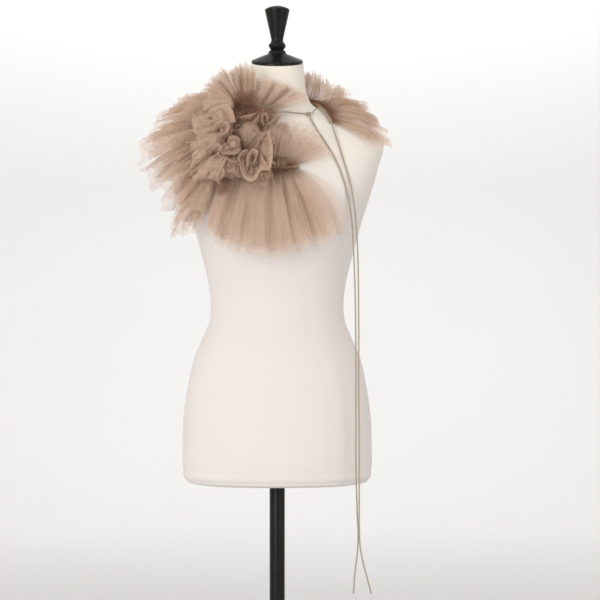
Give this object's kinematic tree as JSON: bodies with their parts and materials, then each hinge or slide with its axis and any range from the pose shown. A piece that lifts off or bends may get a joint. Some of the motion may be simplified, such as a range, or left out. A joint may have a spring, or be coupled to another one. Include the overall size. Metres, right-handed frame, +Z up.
{
  "type": "tulle collar on a dress form",
  "caption": "Ruffled tulle collar gathered on a tied drawstring with long free ends, worn by a limbless dress form on a pole with a round base.",
  "frame": {"origin": "on the floor, at the middle of the base plate's flat underside, under the pole", "axes": "+Z up along the pole; -Y is the dress form's front; +X is the form's left hand, a viewer's right from the front"},
  "size_m": [0.4641, 0.3835, 1.533],
  "materials": {
    "tulle": "soft sheer net, beige",
    "casing": "tightly gathered net, beige brown",
    "cord": "thin round twisted cord, grey beige",
    "jersey": "cream jersey stretched over a hard shell",
    "black_paint": "gloss black"
  },
  "bodies": {
    "root": {"skirt_right_shoulder": "tulle", "skirt_back_right": "tulle", "skirt_back_left": "tulle", "skirt_left_shoulder": "tulle", "skirt_left_chest": "tulle", "skirt_chest": "tulle", "frill_right_neck": "tulle", "frill_back": "tulle", "frill_left_shoulder": "tulle", "frill_left_chest": "tulle", "frill_hollow": "tulle", "frill_chest_end": "tulle", "crest_throat": "tulle", "crest_top": "tulle", "crest_left": "tulle", "curl_upper": "tulle", "curl_middle": "tulle", "curl_lower": "tulle", "casing_right": "casing", "casing_back": "casing", "casing_left": "casing", "casing_chest": "casing", "casing_crest": "casing", "drawstring_front": "cord", "knot": "cord", "cord_end_a": "cord", "cord_end_b": "cord", "form_torso": "jersey", "neck_cap": "black_paint", "finial": "black_paint", "pole": "black_paint", "base": "black_paint"}
  },
  "joints": []
}
